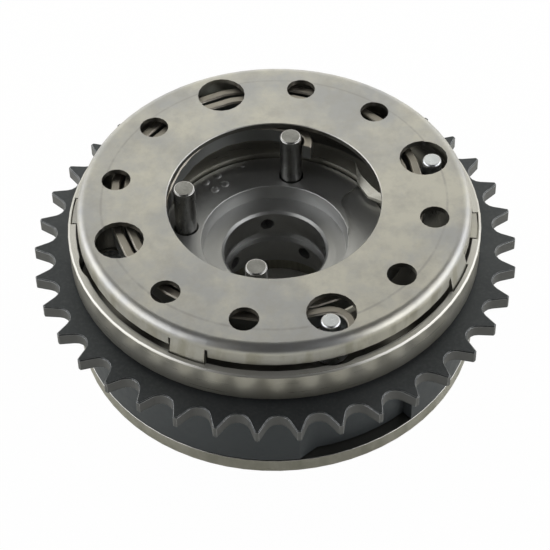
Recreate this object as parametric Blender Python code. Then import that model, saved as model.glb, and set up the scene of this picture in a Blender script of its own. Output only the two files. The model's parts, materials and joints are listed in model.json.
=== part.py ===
"""Cam phaser: a chain sprocket on a vane housing, with a rotor that turns inside it.

A flat spiral spring under the pressed cover pulls the rotor to its start position.
Lengths are in millimetres and angles in degrees; MM turns them into metres.
The axis is Z, the rear face lies on Z = 0, and azimuth 0 is along +X.
"""

import math

import bmesh
import bpy
from mathutils import Matrix, Vector

MM = 0.001

# Clearances
GAP = 0.3
SEAL_GAP = 0.4
COVER_FIT = 0.35

# Facets round a full turn
LARGE_FACETS = 72
BORE_FACETS = 40
HOLE_FACETS = 20
BOLT_FACETS = 16
DRILL_FACETS = 12
SMOOTH_ANGLE = 35.0
FULL_TURN = 360.0

# Thicknesses and heights, stacked from the rear face
REAR_PLATE_THICKNESS = 3.7
BODY_HEIGHT = 19.2
FRONT_PLATE_THICKNESS = 3.5
RIM_HEIGHT = 3.7
COVER_RISE = 5.9
BODY_BOTTOM = REAR_PLATE_THICKNESS + GAP
SPROCKET_TOP = BODY_BOTTOM + BODY_HEIGHT
PLATE_BOTTOM = SPROCKET_TOP + GAP
FRONT_FLOOR = PLATE_BOTTOM + FRONT_PLATE_THICKNESS
RIM_TOP = FRONT_FLOOR + RIM_HEIGHT
COVER_TOP = RIM_TOP + COVER_RISE

# Chain wheel for an 8 mm pitch chain
TEETH = 38
CHAIN_PITCH = 8.0
ROLLER_DIAMETER = 5.01
SEAT_RADIUS = 0.505 * ROLLER_DIAMETER
ADDENDUM = (1.041 * CHAIN_PITCH - ROLLER_DIAMETER) / 2
SEAT_HALF_ANGLE = 61.0
TIP_CORNER = 0.25
TOOTH_CHAMFER = 0.2
SPROCKET_WIDTH = 2.8
FIRST_TOOTH = -0.23
SEAT_FACETS = 6

# Housing drum and its four pressure chambers
CHAMBERS = 4
QUARTER = FULL_TURN / CHAMBERS
HUB_RADIUS = 28.6
CHAMBER_DEPTH = 9.4
DRUM_WALL = 4.1
CHAMBER_RADIUS = HUB_RADIUS + CHAMBER_DEPTH
DRUM_RADIUS = CHAMBER_RADIUS + DRUM_WALL
LAND_HALF_ANGLE = 11.3
RELIEF_DEPTH = 2.4
RELIEF_START = -79.0
RELIEF_END = -50.0
RELIEF_BLEND = 7.5
RELIEF_LAND = 0.8

# Post bolts: they clamp the plates to the housing and carry the return spring
BOLT_INSET = 3.4
BOLT_CIRCLE = CHAMBER_RADIUS - BOLT_INSET
ANCHOR_AZIMUTH = -72.4
BOLT_SHANK = 2.9
BOLT_COLLAR = 3.6
BOLT_TIP = 2.0
BOLT_END = 0.3
BOLT_TIP_DROP = 0.3
SHORT_COLLAR_DROP = 1.3
SPOT_FACE_RADIUS = 6.8
SPOT_FACE_DEPTH = 0.2
BOLT_AZIMUTHS = {
    "anchor": ANCHOR_AZIMUTH,
    "guide": ANCHOR_AZIMUTH + QUARTER,
    "back": ANCHOR_AZIMUTH + 2 * QUARTER,
    "left": ANCHOR_AZIMUTH + 3 * QUARTER,
}
TALL_BOLTS = ("anchor", "guide")

# Front plate
PLATE_OVERHANG = 0.4
PLATE_RADIUS = DRUM_RADIUS + PLATE_OVERHANG
OPENING_INSET = 4.4
PLATE_OPENING = HUB_RADIUS - OPENING_INSET
OPENING_SLOPE = 2.5
SLOPE_HEIGHT = 1.2
RIM_WALL = 1.75
RIM_INNER = PLATE_RADIUS - RIM_WALL
RIM_CHAMFER = 0.35
RIM_INNER_CHAMFER = 0.15
PLATE_FOOT_CHAMFER = 0.6
FLOOR_FILLET = 1.0
POCKET_CLEARANCE = 0.4
NOSE_TOP = ((49.0, 0.0), (45.0, 1.4), (40.0, 2.4), (31.0, 2.7), (25.0, 2.3), (19.0, 0.0))
NOSE_EDGE = ((42.5, 0.0), (39.5, 1.2), (36.0, 1.5), (28.0, 1.75), (25.5, 1.1), (22.0, 0.0))
NOSE_STEP = 0.1

# Spring cover, pressed from sheet
SHEET = 1.2
COVER_RADIUS = RIM_INNER - COVER_FIT
COVER_BEND = 2.0
BEND_FACETS = 5
CREASE_INSET = 5.1
CREASE_DROP = 0.1
CREASE_WIDTH = 0.2
SKIRT_HEIGHT = 4.65
SKIRT_BOTTOM = COVER_TOP - SKIRT_HEIGHT
HOLE_INSET = 7.4
HOLE_CIRCLE = COVER_RADIUS - HOLE_INSET
HOLES = 12
LARGE_HOLE_EVERY = 3
HOLE_TURN = 1.32
LARGE_HOLE = 5.0
SMALL_HOLE = 3.0
TONGUE_AZIMUTH = -25.6
TONGUE_ANGLE = 10.4
TONGUE_FLARE = 0.65
TONGUE_REACH = 2.1
TONGUE_BOTTOM = RIM_TOP - TONGUE_REACH
TONGUE_STRAIGHT = 0.2
SLIT_ANGLE = 0.8
SLIT_HEIGHT = 2.6
SLIT_TOP = COVER_TOP - SLIT_HEIGHT
LUG_AZIMUTH = -4.7
LUG_ANGLE = 9.6
LUG_REACH = 0.9
LUG_RADIUS = RIM_INNER + LUG_REACH
LUG_THICKNESS = 1.1

# Vane rotor
REST_ANGLE = 1.0
VANE_HALF_ANGLE = 16.5
FIRST_VANE = ANCHOR_AZIMUTH + 2 * QUARTER - LAND_HALF_ANGLE - REST_ANGLE - VANE_HALF_ANGLE
VANE_RADIUS = CHAMBER_RADIUS - SEAL_GAP
SLOT_WIDTH = 2.4
SLOT_DEPTH = 4.5
SLOT_FLOOR = VANE_RADIUS - SLOT_DEPTH
BORE_RADIUS = 10.7
GROOVE_DEPTH = 1.3
GROOVE_WIDTH = 3.0
GROOVE_RISE = 8.6
BOSS_HEIGHT = 1.5
BOSS_RADIUS = PLATE_OPENING - GAP
BOSS_CHAMFER = 0.2
FACE_TOP = SPROCKET_TOP + BOSS_HEIGHT
CUP_RADIUS = 15.3
FACE_WIDTH = BOSS_RADIUS - CUP_RADIUS
CUP_TAPER = 0.35
CUP_DEPTH = 3.4
CUP_FLOOR = FACE_TOP - CUP_DEPTH
BORE_CHAMFER = 0.5
CUP_CHAMFER = 0.1
CAMSHAFT_SEAT_RADIUS = 13.0
CAMSHAFT_SEAT_DEPTH = 4.6
OIL_HOLE = 1.5
UPPER_OIL_RISE = 13.9
UPPER_OIL_TURN = 19.6
LOWER_OIL_RISE = 6.6
LOWER_OIL_TURN = -24.8
FACE_RECESS = 0.5
RECESS_LOW = -41.3
RECESS_HIGH = 39.4
RECESS_SIDE = ((0.9, 39.4), (0.66, 39.3), (0.49, 39.0), (0.41, 38.5), (0.3, 36.9))
RECESS_TAIL = ((0.22, 33.8), (0.16, 27.5), (0.11, 20.0), (0.055, 10.0), (-0.02, 1.0))
DOME_RADIUS = 0.11 * FACE_WIDTH
DOME_HEIGHT = 0.4
DOME_SPOTS = ((0.8, 51.8), (0.8, 43.8), (0.45, 51.8), (0.45, 43.9))
DOT_RADIUS = 0.05 * FACE_WIDTH
DOT_SPOT = (0.83, 28.3)

# Rotor pins
PIN_CIRCLE = CUP_RADIUS + 0.407 * FACE_WIDTH
PIN_RADIUS = 0.267 * FACE_WIDTH
PIN_TURN = -0.5
PIN_AZIMUTH = FIRST_VANE + PIN_TURN
PIN_DROP = 0.3
PIN_TOP = COVER_TOP - PIN_DROP
PIN_DEPTH = 12.4
PIN_CHAMFER = 0.3
COVER_MARGIN = 0.9
COVER_OPENING = PIN_CIRCLE + PIN_RADIUS + COVER_MARGIN

# Return spring, a flat strip on edge
SPRING_ROOM = BOLT_CIRCLE - PIN_CIRCLE
STRIP_THICKNESS = 0.1234 * SPRING_ROOM
STRIP_HEIGHT = 3.6
STRIP_DROP = 0.6
STRIP_TOP = COVER_TOP - SHEET - STRIP_DROP
STRIP_BOTTOM = STRIP_TOP - STRIP_HEIGHT
STRIP_CHAMFER = 0.28
SPIRAL_TURNS = 3
SPIRAL_CLOSING = 1.2
SPIRAL_FADE = 4.84
SPIRAL_LEAN = 2.99
SPIRAL_LEAN_AZIMUTH = 104.3
SPIRAL_OVAL = 0.41
SPIRAL_OVAL_AZIMUTH = 91.3
SPIRAL_END_WAVE = 0.99
SPIRAL_END_ANGLE = 116.0
SPIRAL_STEP = 12.0
OUTER_HOOK_GAP = 1.2
OUTER_HOOK_RADIUS = BOLT_TIP + OUTER_HOOK_GAP + STRIP_THICKNESS / 2
OUTER_HOOK_WRAP = 125.0
INNER_HOOK_GAP = 0.4
INNER_HOOK_RADIUS = PIN_RADIUS + INNER_HOOK_GAP + STRIP_THICKNESS / 2
INNER_HOOK_WRAP = 105.0
HOOK_FACETS = 9

# Vane seals and their leaf springs
SEAL_WIDTH = 1.8
SEAL_HEIGHT = 3.1
SEAL_CORNER = 0.3
LEAF_THICKNESS = 0.25
LEAF_INSET = 1.0
LEAF_SIDE_GAP = 0.1
LEAF_FACETS = 8

# Rear plate
REAR_MARGIN = 1.0
REAR_OPENING = CAMSHAFT_SEAT_RADIUS + REAR_MARGIN
REAR_CHAMFER = 0.4

# Lock pin, which holds the rotor at its start position until oil lifts it
LOCK_NOSE = 3.3
LOCK_FLANGE = 4.3
LOCK_WALL = 1.6
LOCK_CIRCLE = CUP_RADIUS + LOCK_WALL + LOCK_FLANGE
LOCK_AZIMUTH = -11.2
LOCK_LENGTH = 8.6
LOCK_NOSE_LENGTH = 5.9
LOCK_CHAMFER = 0.3
LOCK_NOSE_CHAMFER = 0.55
LOCK_SHOULDER_RISE = 2.7
LOCK_POCKET_RADIUS = 2.4
LOCK_POCKET_RISE = 3.0
LOCK_ROOF = 3.0
LOCK_BORE_TOP = FACE_TOP - FACE_RECESS - LOCK_ROOF
LOCK_COIL_RADIUS = 1.75
LOCK_WIRE = 0.3
LOCK_COILS = 6
LOCK_COIL_STEPS = 10
WIRE_FACETS = 6
SEAT_WALL = 1.65
SEAT_FIT = 0.45
SEAT_INNER = LOCK_NOSE + SEAT_FIT
SEAT_OUTER = SEAT_INNER + SEAT_WALL
SEAT_DEPTH = 2.6
SEAT_CHAMFER = 0.3
SEAT_VENT = 2.0

# Cutters run this far past the face they open
OVERRUN = 1.0


def polar(radius, azimuth):
    """The (x, y) point at this radius and azimuth."""
    angle = math.radians(azimuth)
    return radius * math.cos(angle), radius * math.sin(angle)


def arc(radius, start, end, facets):
    """Points of a circle round the axis, from one azimuth to another, both ends in."""
    return [
        polar(radius, start + (end - start) * i / facets) for i in range(facets + 1)
    ]


def round_corner(centre, radius, start, end, facets):
    """Points of a fillet in the (radius, height) plane."""
    return [
        (
            centre[0] + radius * math.cos(math.radians(start + (end - start) * i / facets)),
            centre[1] + radius * math.sin(math.radians(start + (end - start) * i / facets)),
        )
        for i in range(facets + 1)
    ]


def layered(layers):
    """A solid through a stack of (outline, height) layers with the same number of points."""
    bm = bmesh.new()
    rings = [
        [bm.verts.new((x * MM, y * MM, height * MM)) for x, y in outline]
        for outline, height in layers
    ]
    skin(bm, rings)
    return bm


def skin(bm, rings):
    """Side faces from each ring of points to the next, and a face on both ends."""
    for ring, after in zip(rings, rings[1:]):
        for i in range(len(ring)):
            j = (i + 1) % len(ring)
            bm.faces.new((ring[i], ring[j], after[j], after[i]))
    bm.faces.new(rings[0])
    bm.faces.new(rings[-1])


def prism(outline, bottom, top):
    """A solid with this (x, y) outline between two heights."""
    return layered([(outline, bottom), (outline, top)])


def turned(profile, steps, closed=True):
    """A (radius, height) profile spun once round Z. An open one is capped at both ends."""
    bm = bmesh.new()
    line = [bm.verts.new((radius * MM, 0, height * MM)) for radius, height in profile]
    ends = line[1:] + line[:1] if closed else line[1:]
    for first, second in zip(line, ends):
        bm.edges.new((first, second))
    bmesh.ops.spin(
        bm,
        geom=bm.verts[:] + bm.edges[:],
        cent=(0, 0, 0),
        axis=(0, 0, 1),
        angle=math.tau,
        steps=steps,
        use_merge=True,
    )
    if not closed:
        rims = [edge for edge in bm.edges if edge.is_boundary]
        bmesh.ops.holes_fill(bm, edges=rims)
    return bm


def sector(profile, middle, width, steps):
    """A (radius, height) section swept round Z through part of a turn."""
    bm = bmesh.new()
    start = math.radians(middle - width / 2)
    face = bm.faces.new(
        [
            bm.verts.new((r * MM * math.cos(start), r * MM * math.sin(start), z * MM))
            for r, z in profile
        ]
    )
    bmesh.ops.spin(
        bm,
        geom=[face] + face.verts[:] + face.edges[:],
        cent=(0, 0, 0),
        axis=(0, 0, 1),
        angle=math.radians(width),
        steps=steps,
    )
    return bm


def cylinder(radius, bottom, top, steps):
    """An upright cylinder on the axis."""
    return turned([(radius, bottom), (radius, top)], steps, closed=False)


def swept(path, section):
    """A section carried along a path of (point, across, up) frames in millimetres."""
    bm = bmesh.new()
    rings = [
        [bm.verts.new((point + across * u + up * v) * MM) for u, v in section]
        for point, across, up in path
    ]
    skin(bm, rings)
    return bm


def ring_body(azimuths, profile_at):
    """A closed ring through the (radius, height) profile that each azimuth has."""
    bm = bmesh.new()
    rings = []
    for azimuth in azimuths:
        points = [(*polar(radius, azimuth), height) for radius, height in profile_at(azimuth)]
        rings.append([bm.verts.new((x * MM, y * MM, z * MM)) for x, y, z in points])
    for ring, after in zip(rings, rings[1:] + rings[:1]):
        for i in range(len(ring)):
            j = (i + 1) % len(ring)
            bm.faces.new((ring[i], ring[j], after[j], after[i]))
    return bm


def metal(name, colour, roughness, metallic=1.0):
    """A plain material with this colour."""
    material = bpy.data.materials.new(name)
    material.use_nodes = True
    shader = material.node_tree.nodes["Principled BSDF"]
    shader.inputs["Base Color"].default_value = (*colour, 1.0)
    shader.inputs["Roughness"].default_value = roughness
    shader.inputs["Metallic"].default_value = metallic
    return material


def solid(name, bm, material=None):
    """An object made of this mesh, smooth where it is round."""
    bmesh.ops.recalc_face_normals(bm, faces=bm.faces)
    mesh = bpy.data.meshes.new(name)
    bm.to_mesh(mesh)
    bm.free()
    mesh.shade_smooth()
    mesh.set_sharp_from_angle(angle=math.radians(SMOOTH_ANGLE))
    if material:
        mesh.materials.append(material)
    obj = bpy.data.objects.new(name, mesh)
    bpy.context.scene.collection.objects.link(obj)
    return obj


def place(obj, radius, azimuth, height=0.0, turn=0.0):
    """Puts an object's origin at this radius and azimuth."""
    x, y = polar(radius, azimuth)
    obj.location = (x * MM, y * MM, height * MM)
    obj.rotation_euler = (0, 0, math.radians(turn))
    return obj


def combine(target, tool, operation):
    """Cuts a helper from a piece, or joins it on."""
    tool.hide_render = True
    tool.display_type = "WIRE"
    tool.parent = target
    step = target.modifiers.new(tool.name, "BOOLEAN")
    step.operation = operation
    step.solver = "EXACT"
    step.object = tool


def cut(target, tool):
    combine(target, tool, "DIFFERENCE")


def join(target, tool):
    combine(target, tool, "UNION")


def tooth_outline(inset=0.0):
    """The wheel's outline: round roller seats with straight flanks up to the tips."""
    step = FULL_TURN / TEETH
    pitch_radius = CHAIN_PITCH / 2 / math.sin(math.radians(step / 2))
    seat_radius = SEAT_RADIUS + inset
    tip_radius = pitch_radius + ADDENDUM - inset
    flank = math.radians(90.0 - SEAT_HALF_ANGLE)
    turns = [SEAT_HALF_ANGLE * (2 * i / SEAT_FACETS - 1) for i in range(SEAT_FACETS + 1)]
    seat = [
        Vector(
            (
                pitch_radius - seat_radius * math.cos(math.radians(turn)),
                seat_radius * math.sin(math.radians(turn)),
            )
        )
        for turn in turns
    ]
    foot = seat[-1]
    along = Vector((math.cos(flank), math.sin(flank)))
    climb = foot.dot(along)
    length = -climb + math.sqrt(climb**2 - foot.length_squared + tip_radius**2)
    corner = foot + along * length
    land = math.radians(step / 2) - math.atan2(corner.y, corner.x)
    size = min(TIP_CORNER, land * tip_radius / 2)
    before = foot + along * (length - size)
    after = corner + Vector((-corner.y, corner.x)).normalized() * size
    after *= tip_radius / after.length
    middle = before * 0.25 + corner * 0.5 + after * 0.25
    side = [before, middle, after]
    gap = [Vector((p.x, -p.y)) for p in reversed(side)] + seat + side
    outline = []
    for tooth in range(TEETH):
        turn = Matrix.Rotation(math.radians(FIRST_TOOTH + (tooth + 0.5) * step), 2)
        outline += [tuple(turn @ point) for point in gap]
    return outline


def chamber_outline():
    """The hollow of the housing: four chambers between four lands that meet the hub."""
    outline = []
    for i in range(CHAMBERS):
        land = ANCHOR_AZIMUTH + i * QUARTER
        outline += arc(
            HUB_RADIUS + SEAL_GAP, land - LAND_HALF_ANGLE, land + LAND_HALF_ANGLE, 4
        )
        outline += arc(
            CHAMBER_RADIUS,
            land + LAND_HALF_ANGLE,
            land + QUARTER - LAND_HALF_ANGLE,
            14,
        )
    return outline


def rotor_outline():
    """The hub with its four wide vanes, each with a slot for the seal in its tip."""
    outline = []
    for i in range(CHAMBERS):
        vane = FIRST_VANE + i * QUARTER
        mouth = math.degrees(math.asin(SLOT_WIDTH / 2 / VANE_RADIUS))
        floor = math.degrees(math.asin(SLOT_WIDTH / 2 / SLOT_FLOOR))
        outline += arc(HUB_RADIUS, vane - QUARTER + VANE_HALF_ANGLE, vane - VANE_HALF_ANGLE, 10)
        outline += arc(VANE_RADIUS, vane - VANE_HALF_ANGLE, vane - mouth, 3)
        outline += [polar(SLOT_FLOOR, vane - floor), polar(SLOT_FLOOR, vane + floor)]
        outline += arc(VANE_RADIUS, vane + mouth, vane + VANE_HALF_ANGLE, 3)
    return outline


def opening_outline(radius, nose):
    """The front plate's opening: round, with one nose that reaches inwards."""
    inwards = [polar(radius - reach, azimuth) for azimuth, reach in nose]
    return arc(radius, nose[0][0], nose[-1][0] + FULL_TURN, 60)[1:-1] + inwards[::-1]


def recess_outline():
    """The shallow field in the rotor's face, over the lock pin, with an S-shaped side."""
    outer = BOSS_RADIUS + OVERRUN
    side = [
        polar(CUP_RADIUS + share * FACE_WIDTH, azimuth)
        for share, azimuth in RECESS_SIDE + RECESS_TAIL
    ]
    inner = CUP_RADIUS + RECESS_TAIL[-1][0] * FACE_WIDTH
    edge = arc(inner, RECESS_TAIL[-1][1], RECESS_LOW, 6)[1:]
    return arc(outer, RECESS_LOW, RECESS_HIGH, 14) + side + edge


def relief_outline():
    """The flat step in the drum's side: sharp at one end, run out at the other."""
    floor = DRUM_RADIUS - RELIEF_DEPTH
    past = DRUM_RADIUS + OVERRUN
    inside = arc(floor, RELIEF_END, RELIEF_START, 6)
    outside = arc(past, RELIEF_START - RELIEF_BLEND, RELIEF_END, 6)
    return inside + outside


def sprocket_housing(material):
    """Drum and chain wheel in one piece, with the chambers cut through it."""
    wheel_bottom = SPROCKET_TOP - SPROCKET_WIDTH
    drum = cylinder(DRUM_RADIUS, BODY_BOTTOM, wheel_bottom + SPROCKET_WIDTH / 2, LARGE_FACETS)
    body = solid("sprocket_housing", drum, material)
    relief = prism(relief_outline(), BODY_BOTTOM - OVERRUN, wheel_bottom - RELIEF_LAND)
    cut(body, solid("drum_relief", relief))
    full = tooth_outline()
    trimmed = tooth_outline(TOOTH_CHAMFER)
    wheel = [
        (full, wheel_bottom),
        (full, SPROCKET_TOP - TOOTH_CHAMFER),
        (trimmed, SPROCKET_TOP),
    ]
    join(body, solid("chain_wheel", layered(wheel)))
    hollow = prism(chamber_outline(), BODY_BOTTOM - OVERRUN, SPROCKET_TOP + OVERRUN)
    cut(body, solid("chambers", hollow))
    bolt_holes(body, BODY_BOTTOM - OVERRUN, SPROCKET_TOP + OVERRUN)
    return body


def bolt_holes(body, bottom, top):
    """Clearance holes for the four post bolts."""
    for name, azimuth in BOLT_AZIMUTHS.items():
        hole = solid(
            f"{body.name}_hole_{name}",
            cylinder(BOLT_SHANK + GAP, bottom, top, BOLT_FACETS),
        )
        cut(body, place(hole, BOLT_CIRCLE, azimuth, turn=azimuth))


def front_plate(material):
    """Dished plate that closes the chambers and carries the rim round the cover."""
    blank = PLATE_OPENING - 2 * max(reach for _, reach in NOSE_EDGE)
    profile = [
        (PLATE_RADIUS - PLATE_FOOT_CHAMFER, PLATE_BOTTOM),
        (PLATE_RADIUS, PLATE_BOTTOM + PLATE_FOOT_CHAMFER),
        (PLATE_RADIUS, RIM_TOP - RIM_CHAMFER),
        (PLATE_RADIUS - RIM_CHAMFER, RIM_TOP),
        (RIM_INNER + RIM_INNER_CHAMFER, RIM_TOP),
        (RIM_INNER, RIM_TOP - RIM_INNER_CHAMFER),
        (RIM_INNER, FRONT_FLOOR + FLOOR_FILLET),
        (RIM_INNER - FLOOR_FILLET, FRONT_FLOOR),
        (blank, FRONT_FLOOR),
        (blank, PLATE_BOTTOM),
    ]
    plate = solid("front_plate", turned(profile, LARGE_FACETS), material)
    no_nose = [(azimuth, 0.0) for azimuth, _ in NOSE_EDGE]
    lip = FACE_TOP + GAP
    mouth = PLATE_OPENING + OPENING_SLOPE
    above = OPENING_SLOPE / SLOPE_HEIGHT * OVERRUN
    opening = [
        (opening_outline(PLATE_OPENING, no_nose), PLATE_BOTTOM - OVERRUN),
        (opening_outline(PLATE_OPENING, no_nose), lip),
        (opening_outline(PLATE_OPENING, NOSE_EDGE), lip + NOSE_STEP),
        (opening_outline(PLATE_OPENING, NOSE_EDGE), FRONT_FLOOR - SLOPE_HEIGHT),
        (opening_outline(mouth, NOSE_TOP), FRONT_FLOOR),
        (opening_outline(mouth + above, NOSE_TOP), FRONT_FLOOR + OVERRUN),
    ]
    cut(plate, solid("plate_opening", layered(opening)))
    bolt_holes(plate, PLATE_BOTTOM - OVERRUN, FRONT_FLOOR + OVERRUN)
    for name, azimuth in BOLT_AZIMUTHS.items():
        tool = cylinder(SPOT_FACE_RADIUS, FRONT_FLOOR - SPOT_FACE_DEPTH, RIM_TOP + OVERRUN, LARGE_FACETS)
        spot = solid(f"spot_face_{name}", tool)
        cut(plate, place(spot, BOLT_CIRCLE, azimuth, turn=azimuth))
    for i in range(CHAMBERS):
        azimuth = TONGUE_AZIMUTH + QUARTER * i
        floor = TONGUE_BOTTOM - POCKET_CLEARANCE
        wall = COVER_RADIUS + TONGUE_FLARE + GAP
        pocket = rim_pocket(floor, wall, azimuth, TONGUE_ANGLE)
        cut(plate, solid(f"tongue_pocket_{i + 1}", pocket))
    for i in range(2):
        azimuth = LUG_AZIMUTH + FULL_TURN / 2 * i
        notch = rim_pocket(RIM_TOP - LUG_THICKNESS - GAP, LUG_RADIUS + GAP, azimuth, LUG_ANGLE)
        cut(plate, solid(f"lug_notch_{i + 1}", notch))
    return plate


def rim_pocket(floor, wall, azimuth, width):
    """The room in the rim's inside for a tongue or lug of this width, with a gap round it."""
    section = [
        (RIM_INNER - OVERRUN, floor),
        (wall, floor),
        (wall, RIM_TOP + OVERRUN),
        (RIM_INNER - OVERRUN, RIM_TOP + OVERRUN),
    ]
    return sector(section, azimuth, width + 2 * math.degrees(GAP / RIM_INNER), 4)


def cover_profile(on_tongue):
    """The cover's (radius, height) section, with or without a tongue below the skirt."""
    inside = COVER_RADIUS - SHEET
    outer_top = COVER_TOP - CREASE_DROP
    underside = COVER_TOP - SHEET
    inner_bend = COVER_BEND - SHEET
    crease = COVER_RADIUS - CREASE_INSET
    profile = [
        (COVER_OPENING, underside),
        (COVER_OPENING, COVER_TOP - RIM_INNER_CHAMFER),
        (COVER_OPENING + RIM_INNER_CHAMFER, COVER_TOP),
        (crease - CREASE_WIDTH / 2, COVER_TOP),
        (crease + CREASE_WIDTH / 2, outer_top),
    ]
    bend = (COVER_RADIUS - COVER_BEND, outer_top - COVER_BEND)
    profile += round_corner(bend, COVER_BEND, 90.0, 0.0, BEND_FACETS)
    knee = RIM_TOP + TONGUE_STRAIGHT if on_tongue else (SLIT_TOP + SKIRT_BOTTOM) / 2
    bottom = TONGUE_BOTTOM if on_tongue else SKIRT_BOTTOM
    flare = TONGUE_FLARE if on_tongue else 0.0
    profile += [
        (COVER_RADIUS, SLIT_TOP),
        (COVER_RADIUS + flare, knee),
        (COVER_RADIUS + flare, bottom),
        (inside + flare, bottom),
        (inside + flare, knee),
        (inside, SLIT_TOP),
    ]
    inner = (inside - inner_bend, underside - inner_bend)
    return profile + round_corner(inner, inner_bend, 0.0, 90.0, 2)


def spring_cover(material):
    """Pressed cap with a ring of holes, four snap tongues and two locating lugs."""
    inside = COVER_RADIUS - SHEET
    edge = (TONGUE_ANGLE + SLIT_ANGLE) / 2
    step = SLIT_ANGLE / 4
    tongues = [TONGUE_AZIMUTH + QUARTER * i for i in range(CHAMBERS)]
    azimuths = []
    for middle in tongues:
        across = arc_steps(middle - edge + step, middle + edge - step)
        between = arc_steps(middle + edge + step, middle + QUARTER - edge - step)
        azimuths += across + between

    def profile_at(azimuth):
        away = (azimuth - TONGUE_AZIMUTH + QUARTER / 2) % QUARTER - QUARTER / 2
        return cover_profile(abs(away) < edge)

    cover = solid("spring_cover", ring_body(azimuths, profile_at), material)
    slit = [
        (inside - OVERRUN, TONGUE_BOTTOM - OVERRUN),
        (COVER_RADIUS + TONGUE_FLARE + OVERRUN, TONGUE_BOTTOM - OVERRUN),
        (COVER_RADIUS + TONGUE_FLARE + OVERRUN, SLIT_TOP),
        (inside - OVERRUN, SLIT_TOP),
    ]
    for i, middle in enumerate(tongues):
        for side, azimuth in (("low", middle - edge), ("high", middle + edge)):
            cut(cover, solid(f"slit_{i + 1}_{side}", sector(slit, azimuth, SLIT_ANGLE, 2)))
    for i in range(HOLES):
        radius = SMALL_HOLE if i % LARGE_HOLE_EVERY else LARGE_HOLE
        tool = cylinder(radius, COVER_TOP - SHEET - OVERRUN, COVER_TOP + OVERRUN, HOLE_FACETS)
        hole = solid(f"cover_hole_{i + 1}", tool)
        azimuth = ANCHOR_AZIMUTH + QUARTER + HOLE_TURN + i * FULL_TURN / HOLES
        cut(cover, place(hole, HOLE_CIRCLE, azimuth, turn=azimuth))
    lug = [
        (inside + SHEET / 8, SKIRT_BOTTOM + SHEET / 2),
        (inside + SHEET / 8, RIM_TOP - LUG_THICKNESS),
        (LUG_RADIUS, RIM_TOP - LUG_THICKNESS),
        (LUG_RADIUS, RIM_TOP),
        (COVER_RADIUS - SHEET / 8, RIM_TOP),
        (COVER_RADIUS - SHEET / 8, SKIRT_BOTTOM + SHEET / 2),
    ]
    for i in range(2):
        azimuth = LUG_AZIMUTH + FULL_TURN / 2 * i
        join(cover, solid(f"lug_{i + 1}", sector(lug, azimuth, LUG_ANGLE, 4)))
    return cover


def arc_steps(start, end):
    """Azimuths from start to end, both in, no further apart than a large facet."""
    steps = math.ceil((end - start) * LARGE_FACETS / FULL_TURN)
    return [start + (end - start) * i / steps for i in range(steps + 1)]


def rear_plate(material):
    """Flat disc behind the housing, with the seat for the lock pin."""
    top = REAR_PLATE_THICKNESS
    profile = [
        (REAR_OPENING, 0.0),
        (DRUM_RADIUS - REAR_CHAMFER, 0.0),
        (DRUM_RADIUS, REAR_CHAMFER),
        (DRUM_RADIUS, top),
        (REAR_OPENING, top),
    ]
    plate = solid("rear_plate", turned(profile, LARGE_FACETS), material)
    bolt_holes(plate, -OVERRUN, top + OVERRUN)
    floor = top - SEAT_DEPTH - GAP
    seat = [
        (SEAT_VENT, -OVERRUN),
        (SEAT_VENT, floor),
        (SEAT_OUTER + GAP, floor),
        (SEAT_OUTER + GAP, top + OVERRUN),
    ]
    hole = solid("seat_bore", turned(seat, HOLE_FACETS, closed=False))
    cut(plate, place(hole, LOCK_CIRCLE, LOCK_AZIMUTH))
    return plate


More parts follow.
